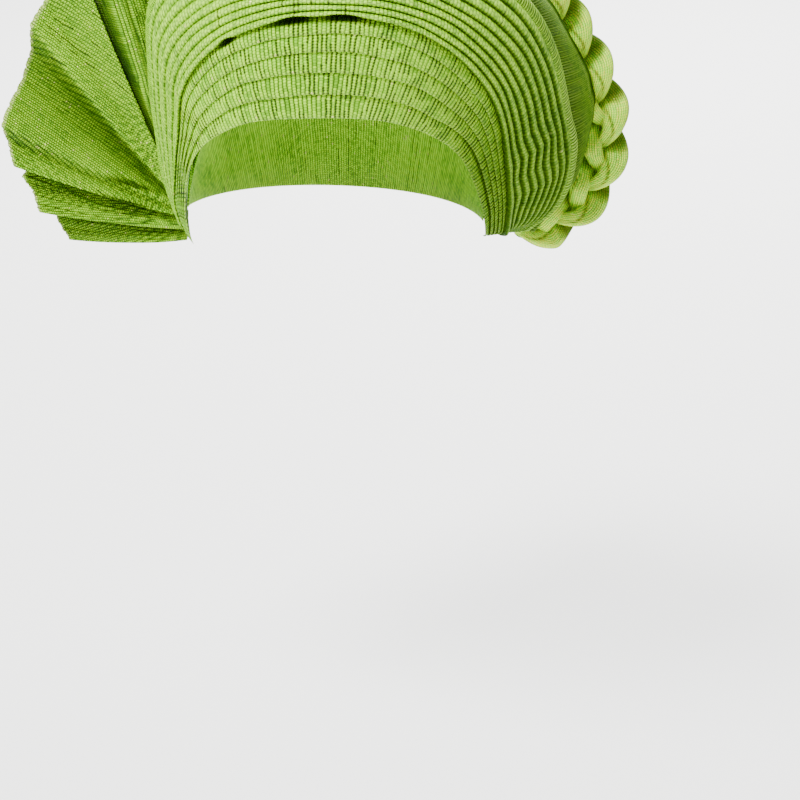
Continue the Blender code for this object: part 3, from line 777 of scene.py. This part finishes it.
class HEADTIE_OT_pleats(bpy.types.Operator):
    """Adds the fine pleats above the tiers, and the ribbed roll of the last one."""

    bl_idname = "headtie.pleats"
    bl_label = "Fine pleats"

    def execute(self, context):
        s, look = sizes("front"), sizes("cloth")
        stations = np.linspace(0, 1, 440)
        at = stations[:, None]
        lines = tier_lines(stations)
        reach = front_reach(stations)
        slit = bump_at(at, SLITS)
        ridges = PLEAT_COUNT - 1
        phase = (np.arange(ridges * PLEAT_POINTS) + 0.5)[None] / PLEAT_POINTS
        whole, part = np.floor(phase).astype(int), phase % 1
        bent = np.concatenate([self.bent_line(at, lines, reach, k) for k in range(ridges + 1)], axis=1)
        shares = bent[:, whole[0]] + (bent[:, whole[0] + 1] - bent[:, whole[0]]) * part
        deep = (1 - np.abs(2 * part**0.85 - 1) ** 2.4) ** 0.75
        start = lines[:, [TIER_COUNT]]
        tier_width = start / TIER_COUNT
        ends = np.clip(1 - np.sin(np.pi * at) / 0.3, 0, 1)
        shares = shares - 0.5 * ends * np.clip(1 - phase, 0, 1) * tier_width
        pitch = reach * (1 - start) / PLEAT_COUNT
        loose = 1 + 0.16 * ripple(at * 3, 2.0)
        plain = np.where(whole % 2, 0.25, 0.6) * np.where(whole == 0, 0.8, 1.0)
        shown = plain + (1 - plain) * ramp(at, 0.24, 0.26) ** 1.5
        ridge = np.minimum(s.pleat_depth, 0.62 * pitch) * deep * loose * shown
        past = (shares - start) / tier_width
        lift = lap_step(stations, lines)[:, None] * (np.clip(1 + tier_lap(stations) - past, 0, None) + 0.08)
        press = 0.00040 * ramp_down(at, 0.29, 0.06) * ramp(at, 0, 0.08)
        lift = lift - press * np.clip(1 - phase / 0.5, 0, 1)
        lip = slit * np.clip(1 - phase * 1.2, 0, 1)
        outer_h = lift + ridge + look.thickness + 0.0009 * lip
        outer_s = shares + 0.0012 * lip / reach
        keep = np.arange(0, phase.size, 6)[::-1]
        inner_h = lift[:, keep]
        grid_s = np.concatenate([outer_s, outer_s[:, keep]], axis=1)
        points = front_skin(stations, grid_s, np.concatenate([outer_h, inner_h], axis=1))
        weave = lay_threads(points, True)
        weave[..., 1] = 0
        weave[:, : phase.size, 1] = phase * 2 * PLEAT_ROW
        # Painted shade: deep in each pleat's valley, wider towards the braid's side, over the whole of that
        # side, and on the inner face.
        depth = np.minimum(part, 1 - part) * PLEAT_POINTS
        right = ramp(at, 0.62, 0.22)
        painted_side_shade = 0.40 * ramp(at, 0.66, 0.30)
        sunk = hump(depth, 1.25 + 1.55 * right) * shown**1.5 * (0.74 + 0.26 * right)
        painted_shade = np.concatenate([painted_side_shade + (1 - painted_side_shade) * sunk, 0.6 + 0 * inner_h], axis=1)
        crease = 0.35 * hump((part - 0.42) * PLEAT_POINTS, 2.5) + 0 * lift
        crease = np.concatenate([crease, 0 * inner_h], axis=1)
        cloth_piece(
            "fine_pleat_folds", points, "woven_pleats", "fine_pleats",
            fold=crease, painted_shade=painted_shade, weave=weave,
        )
        self.crest_roll(s, look)
        return {"FINISHED"}

    def bent_line(self, at, lines, reach, pleat):
        """A pleat's line, pushed outwards at the pressed bends and wandering a little."""
        weight = math.sin(math.pi * min(1.0, pleat / PLEAT_COUNT * 1.15)) ** 0.8 if pleat else 0.0
        push = 0 * at
        for bend in PLEAT_BENDS:
            push += np.clip(1 - np.abs(at - bend.station) / bend.half_width, 0, 1)
        calm = np.sin(np.pi * at) ** 0.6 * (0 < pleat < PLEAT_COUNT - 1)
        wander = 0.00045 * ripple(at * 4, pleat * 1.9 + 3.0) * calm
        return lines[:, [TIER_COUNT + pleat]] + (0.0026 * push * weight + wander) / reach

    def crest_roll(self, s, look):
        """The last pleat: a roll from its valley over the crest, crossed by ribs of height |sin|.

        The section at each station is an ellipse whose width is the last pleat's and whose height is its
        ridge; the ribs stand on its outer side.
        """
        stations = np.linspace(0.0, 1, 1800)
        at = stations[:, None]
        crest = front_edges(stations)[1]
        start = tier_lines(stations)[:, [-2]]
        inner = start - 0.18 * (1 - start)
        width = (1 - inner) * front_reach(stations)
        ring = np.radians(np.linspace(0, 360, 21)[:-1] - 180)[None]
        high = np.sin(ring)
        outer = np.clip(high, 0, 1)
        begun = ramp(at, 0.35, 0.15)
        ribs = np.abs(np.sin(np.pi * run_along(crest)[:, None] / s.rib_pitch)) * begun
        swell = np.minimum(s.pleat_depth * 1.15, 0.55 * width)
        shares = inner + (1 - inner) * (0.5 - 0.5 * np.cos(ring + np.pi))
        heights = np.where(high > 0, swell * np.abs(high) ** 0.8 + look.thickness, look.thickness * 0.1)
        points = front_skin(stations, shares, heights + 0.00028 * ribs * outer)
        # Painted shade between the ribs, and a painted highlight of pale dots on their tops.
        between = (1 - ribs) * begun * 0.95 * outer
        cloth_piece(
            "crest_roll", points, "woven_crest", None,
            fold=0.6 * ribs * outer, painted_shade=between, flip=True,
        )


class HEADTIE_OT_wing(bpy.types.Operator):
    """Adds the smooth wing behind the last pleat."""

    bl_idname = "headtie.wing"
    bl_label = "Side wing"

    def execute(self, context):
        s, look = sizes("front"), sizes("cloth")
        stations = np.linspace(WING_SECTIONS[0][0], 1, 1500)
        _, crest, _ = front_edges(stations)
        spread = smooth_rows(WING_SECTIONS, stations) * s.wing_width
        away = unit(spread)
        start = crest + away * look.gap
        v = np.linspace(0, 1.4, 25)[None, :, None]
        flat = np.minimum(v, 1)
        straight = start[:, None] + (spread + away * (look.thickness - look.gap))[:, None] * flat
        curl = (away * [1, 0, 1] * 0.003 + [0, 0.007, 0])[:, None] * ((v - flat) / 0.4)
        ends = np.sin(np.pi * ramp(stations, 0.36, 0.64)) ** 0.5
        straight = straight + curl * ends[:, None, None]
        out = unit(np.cross(np.gradient(straight, axis=0), np.gradient(straight, axis=1)))
        wave = np.abs(np.sin(np.pi * run_along(crest)[:, None] / s.rib_pitch))
        ribbed = np.clip(1 - v[..., 0] / 0.75, 0, 1)
        soft = 0.0006 * ripple(stations * 9, 5.0)[:, None, None] * flat
        ribs = (0.00022 * wave * ribbed)[..., None]
        points = straight + out * (0.0015 * 4 * flat * (1 - flat) + ribs + soft)
        # Painted shade over the whole wing, deeper between the ribs and on the cloth that curls under past
        # its edge; pale dots on the rib tops are a painted highlight, and a pale dotted line runs along the
        # free edge.
        past = v[..., 0] - 1
        painted_shade = np.maximum(0.35 + 0.62 * (1 - wave) * ribbed, np.clip((past - 0.05) / 0.2, 0, 0.85))
        fold = 0.4 * hump(past, 0.05) + 0.6 * wave * ribbed
        cloth_piece(
            "smooth_wing", points, "woven_wing", "side_wing",
            fold=fold, painted_shade=painted_shade, wall=look.thickness, side=-1.0,
        )
        return {"FINISHED"}


class HEADTIE_OT_crown(bpy.types.Operator):
    """Adds the crown's wrapped folds and the nape band."""

    bl_idname = "headtie.crown"
    bl_label = "Crown and nape band"

    def execute(self, context):
        c, look = sizes("crown"), sizes("cloth")
        stations = np.linspace(0, 1, 220)
        at = stations[:, None]
        half = look.thickness / 2
        step = look.thickness + look.crown_gap
        arch = np.sin(np.pi * at)
        for number in range(CROWN_FOLDS):
            last = min(number + 1 + c.lap, CROWN_FOLDS)
            edge = 0 * at + last / CROWN_FOLDS
            hidden = 0 * at + number / CROWN_FOLDS
            reach = self.metres_a_share(stations, (edge + hidden) / 2)

            def low(t):
                """A slope over the next fold, with an even swell and soft creases."""
                creases = 0.0005 * ripple(t * 9 + at * 2, number + 2.0) * arch
                rise = step * (last - number) * (1 - t)
                return rise + (c.fold_depth * arch + creases) * np.sin(np.pi * t)

            points, fold = folded_band(crown_skin, stations, reach, edge, hidden, half, low, along=44)
            name, node = f"wrapped_fold_{number + 1}", f"crown_fold_{number + 1}"
            cloth_piece(name, points, "woven_crown", node, 0.4 * fold, flip=True)
        self.nape_band(c, half, step)
        return {"FINISHED"}

    def metres_a_share(self, stations, shares):
        """The length of crown that one whole share would cover at each station."""
        ahead = crown_base(stations, shares + 0.01) - crown_base(stations, shares - 0.01)
        return np.linalg.norm(ahead, axis=-1) / 0.02

    def nape_band(self, c, half, step):
        """A plain band with folded edges, over the crown's lower edge."""
        stations = np.linspace(0.10, 0.92, 200)
        at = stations[:, None]
        edge = 0 * at + 1 - c.band_height
        reach = self.metres_a_share(stations, edge + c.band_height / 2)
        offset = 2 * step + c.fold_depth
        low = lambda t: offset + 0.0004 * ripple(t * 5 + at, 3.0) * np.sin(np.pi * t)
        points, fold = folded_band(crown_skin, stations, reach, edge, edge * 0 + 1, half, low)
        cloth_piece(
            "nape_wrap", points, "woven_crown", "nape_band",
            fold=0.4 * fold, painted_shade=band_shade(points, 0.0),
        )


class HEADTIE_OT_fan(bpy.types.Operator):
    """Adds the leaves of the ruffled fan."""

    bl_idname = "headtie.fan"
    bl_label = "Ruffled fan"

    def execute(self, context):
        s = sizes("fan")
        root = np.array([-s.side, 0, -s.root_drop])
        for number, folds in enumerate(FAN_LEAVES):
            at = np.linspace(0, len(folds) - 1, 26 * (len(folds) - 1) + 1)
            smooth = smooth_rows([(i, *fold) for i, fold in enumerate(folds)], at)
            straight = np.stack([np.interp(at, range(len(folds)), column) for column in zip(*folds)], axis=-1)
            turn, reach, forward, root_up, root_forward, _ = (0.2 * smooth + 0.8 * straight).T
            reach = reach + 0.004 * ripple(at * 3, number + 1.0)
            away = np.stack([-np.cos(np.radians(turn)), 0 * turn, np.sin(np.radians(turn))], axis=-1)
            inner = root + s.depth * np.stack([0 * turn, -root_forward, root_up], axis=-1)
            inner[:, 0] -= s.stand_off
            rim = root + away * (reach * s.reach)[:, None]
            rim[:, 1] = -forward * s.depth
            out = np.concatenate([np.linspace(-0.075, 0.95, 74), np.linspace(0.955, 1, 14)])[None]
            r = out[..., None]
            points = inner[:, None] + (rim - inner)[:, None] * r + np.array([0, -s.bow, 0]) * 4 * r * (1 - r)
            flutter = 0.0007 * ripple(at * 5.0, number + 2.0)[:, None] * out**2
            gather = 0.0005 * np.sin(at * 17.0 + number)[:, None] * hump(out - 0.2, 0.18)
            pushed, dark = self.creases(number, at / at[-1], out)
            points[..., 1] += flutter + gather - pushed
            fold = np.clip((out - 0.975) / 0.012, 0, 1) * 1.3
            # Painted shade between the folds, stronger towards the root, and beside the small creases.
            shade = self.fold_shade(np.array(folds)[:, 5], at)[:, None]
            painted_shade = np.clip(shade, 0, 1) * (0.35 + 0.65 * np.clip(1 - out, 0, 1) ** 0.5)
            weave = self.leaf_threads(points - root, math.radians(np.mean(turn)))
            name, node = f"ruffle_{number + 1}", f"fan_leaf_{number + 1}"
            cloth_piece(
                name, points, "woven_fan", node,
                fold=fold, painted_shade=np.maximum(painted_shade, dark), weave=weave, wall=s.cloth,
            )
        return {"FINISHED"}

    def fold_shade(self, shade, at):
        """The painted shade across a leaf: it sets in quickly below a fold, and fades slowly towards the next
        one.
        """
        low = np.clip(at.astype(int), 0, len(shade) - 2)
        part = at - low
        quick = 1 - (1 - part) ** 4
        share = np.where(shade[low + 1] > shade[low], quick, part**0.7)
        return shade[low] + (shade[low + 1] - shade[low]) * share

    def creases(self, leaf, across, out):
        """How far each place is pushed forward by a leaf's small creases, and the painted shade beside them.
        """
        pushed = np.zeros((len(across), out.shape[1]))
        dark = np.zeros_like(pushed)
        for crease in FAN_CREASES:
            if crease.leaf != leaf:
                continue
            start, end = np.array([crease[1:3], crease[3:5]])
            place = np.stack(np.broadcast_arrays(across[:, None], out), axis=-1) - start
            metric = np.array([0.06, 0.12])
            line = (end - start) * metric
            share = np.clip((place * metric) @ line / (line @ line), 0, 1)
            gap = place * metric - share[..., None] * line
            side = np.sign(gap[..., 0]) * np.linalg.norm(gap, axis=-1)
            fade = np.sin(np.pi * (0.08 + 0.84 * share))
            pushed += crease.height * fade * hump(side, 0.0022)
            dark = np.maximum(dark, crease.shade * fade * hump(side - 0.0026, 0.0024))
        return pushed, dark

    def leaf_threads(self, points, turn):
        """Straight threads over a leaf: along its middle line, and across it with the depth of the folds."""
        out = points @ [-math.cos(turn), 0, math.sin(turn)]
        across = points @ [math.sin(turn), 0.8, math.cos(turn)]
        return np.stack([across, out], axis=-1)


class HEADTIE_OT_braid(bpy.types.Operator):
    """Adds the three strands of the braid."""

    bl_idname = "headtie.braid"
    bl_label = "Braid"

    def execute(self, context):
        s = sizes("braid")
        shares = np.linspace(0, 1, 420)
        middle, out, front, length = self.middle_line(shares)
        ring = (np.arange(30) / 30 * 2 * np.pi)[None]
        end = np.minimum(shares, 1 - shares)
        taper = np.clip(end / 0.04, 0.02, 1)[:, None] ** 0.5
        gathered = ramp(end, 0, 0.045)[:, None] ** 0.7
        for strand in range(3):
            phase = 2 * np.pi * (shares * length / s.period + strand / 3)[:, None]
            side, deep = np.sin(phase), np.sin(2 * phase)
            line = middle + out * (s.swing * side * gathered) + front * (s.depth * deep * gathered)
            wide = s.wide * (0.72 + 0.28 * side**4) * taper
            thick = s.thick * (0.70 + 0.30 * side**4) * taper
            along = (shares * length)[:, None]
            gathers = 1 + 0.035 * np.sin(ring * 4 + 2.2 * side + strand)
            gathers = gathers + 0.010 * np.sin(ring * 11 + along * 160 + strand * 2)
            crease = 0 * gathers
            for first_turn, sway in ((0.9, 0.8), (2.0, -0.9)):
                off = ring - first_turn - sway * np.sin(phase + first_turn)
                open_end = 0.5 + 0.5 * np.sin(phase * 2 + first_turn * 3)
                gathers = gathers - 0.11 * open_end * hump(off, 0.12)
                crease = np.maximum(crease, 0.62 * open_end * hump(off, 0.10))
            across = (np.cos(ring) * wide * gathers)[..., None]
            through = (np.sin(ring) * thick * gathers)[..., None]
            points = line[:, None] + out[:, None] * across + front[:, None] * through
            # Painted shade: dark along the creases, where a strand passes behind the others, and at the two
            # side edges of each lobe.
            under = 0.7 * ramp(-deep, 0.30, 0.55)
            rim = 0.35 * np.abs(np.cos(ring)) ** 12
            weave = lay_threads(points, True)[..., ::-1]
            weave[..., 1] += 0.35 * weave[..., 0]
            shade = np.maximum(np.maximum(crease, under), rim)
            # The pale dotted threads over the whole strand add to the painted light of the braid's high tone.
            name, node = f"plait_{strand + 1}", f"braid_strand_{strand + 1}"
            cloth_piece(
                name, points, "woven_braid", node,
                fold=0.2, painted_shade=shade, weave=weave,
            )
        return {"FINISHED"}

    def middle_line(self, shares):
        """The braid's middle line through its places, the way outwards, the way to the front, its length."""
        s = sizes("braid")
        route = np.array(BRAID_ROUTE) * [s.reach, sizes("crown").slot, s.rise]
        dense = smooth_rows([(i, *p) for i, p in enumerate(route)], np.linspace(0, len(route) - 1, 600))
        run = run_along(dense)
        middle = np.stack([np.interp(shares * run[-1], run, dense[:, k]) for k in range(3)], axis=-1)
        ahead = unit(np.gradient(middle, axis=0))
        out = unit(np.cross(ahead, [0, -1.0, 0]))
        return middle, out, np.cross(out, ahead), run[-1]


class HEADTIE_OT_stage(bpy.types.Operator):
    """Adds the floor, the lights and the camera."""

    bl_idname = "headtie.stage"
    bl_label = "Stage"

    def execute(self, context):
        s = sizes("stage")
        scene = context.scene
        mesh = bpy.data.meshes.new("floor")
        corners = [(x * 4.0, y * 4.0, s.floor) for x, y in ((-1, -1), (1, -1), (1, 1), (-1, 1))]
        mesh.from_pydata(corners, [], [(0, 1, 2, 3)])
        floor = bpy.data.objects.new("floor", mesh)
        scene.collection.objects.link(floor)
        paint = bpy.data.materials.new("pale_floor")
        paint.use_nodes = True
        shader = paint.node_tree.nodes["Principled BSDF"]
        shader.inputs["Base Color"].default_value = (0.88, 0.88, 0.87, 1)
        shader.inputs["Roughness"].default_value = 0.9
        mesh.materials.append(paint)
        world = bpy.data.worlds.new("even_light")
        scene.world = world
        world.use_nodes = True
        world.node_tree.nodes["Background"].inputs[0].default_value = (1, 1, 1, 1)
        world.node_tree.nodes["Background"].inputs[1].default_value = s.sky
        self.lamp("key", s.key, 0.40, (-0.62, -0.70, 1.45))
        self.lamp("fill", s.fill, 1.4, (1.3, -0.9, 0.5))
        self.lamp("floor_light", s.back, 2.2, (0.3, 1.6, 1.3), (0.0, 0.8, 0.0))
        lens = bpy.data.cameras.new("photo_view")
        lens.sensor_width = 36.0
        lens.lens = s.lens
        lens.clip_start = 0.05
        eye = bpy.data.objects.new("photo_view", lens)
        scene.collection.objects.link(eye)
        ahead, up = Vector((0, 0.8788, -0.4772)), Vector((0, 0.4772, 0.8788))
        turn = Matrix((Vector((1, 0, 0)), up, -ahead)).transposed().to_4x4()
        eye.matrix_world = Matrix.Translation((0.033, -0.8283, 0.326)) @ turn
        scene.camera = eye
        return {"FINISHED"}

    def lamp(self, name, power, size, place, aim=(0, 0, 0.04)):
        """A square soft light that points at the head tie, or at another aim."""
        light = bpy.data.lights.new(name, "AREA")
        light.energy = power
        light.size = size
        lamp = bpy.data.objects.new(name, light)
        bpy.context.scene.collection.objects.link(lamp)
        lamp.location = place
        lamp.rotation_euler = (Vector(aim) - Vector(place)).to_track_quat("-Z", "Y").to_euler()


class HEADTIE_PT_panel(bpy.types.Panel):
    """Lists the pieces of the head tie."""

    bl_idname = "HEADTIE_PT_panel"
    bl_label = "Head tie"
    bl_space_type = "VIEW_3D"
    bl_region_type = "UI"
    bl_category = "Head tie"

    def draw(self, context):
        for step in STEPS:
            self.layout.operator(step.bl_idname)


GROUPS = (
    ("front", FrontSizes),
    ("crown", CrownSizes),
    ("fan", FanSizes),
    ("braid", BraidSizes),
    ("cloth", ClothLook),
    ("stage", StageLook),
)
STEPS = (
    HEADTIE_OT_tiers,
    HEADTIE_OT_pleats,
    HEADTIE_OT_wing,
    HEADTIE_OT_crown,
    HEADTIE_OT_fan,
    HEADTIE_OT_braid,
    HEADTIE_OT_stage,
)


def register():
    """Registers the classes and their groups of sizes."""
    for name, group in GROUPS:
        bpy.utils.register_class(group)
        setattr(bpy.types.Scene, "head_tie_" + name, PointerProperty(type=group))
    for kind in (*STEPS, HEADTIE_PT_panel):
        bpy.utils.register_class(kind)


def unregister():
    """Takes the classes and their groups away again."""
    for kind in (HEADTIE_PT_panel, *reversed(STEPS)):
        bpy.utils.unregister_class(kind)
    for name, group in reversed(GROUPS):
        delattr(bpy.types.Scene, "head_tie_" + name)
        bpy.utils.unregister_class(group)


def main():
    """Builds every piece in order."""
    register()
    bpy.ops.headtie.tiers()
    bpy.ops.headtie.pleats()
    bpy.ops.headtie.wing()
    bpy.ops.headtie.crown()
    bpy.ops.headtie.fan()
    bpy.ops.headtie.braid()
    bpy.ops.headtie.stage()


if __name__ == "__main__":
    main()
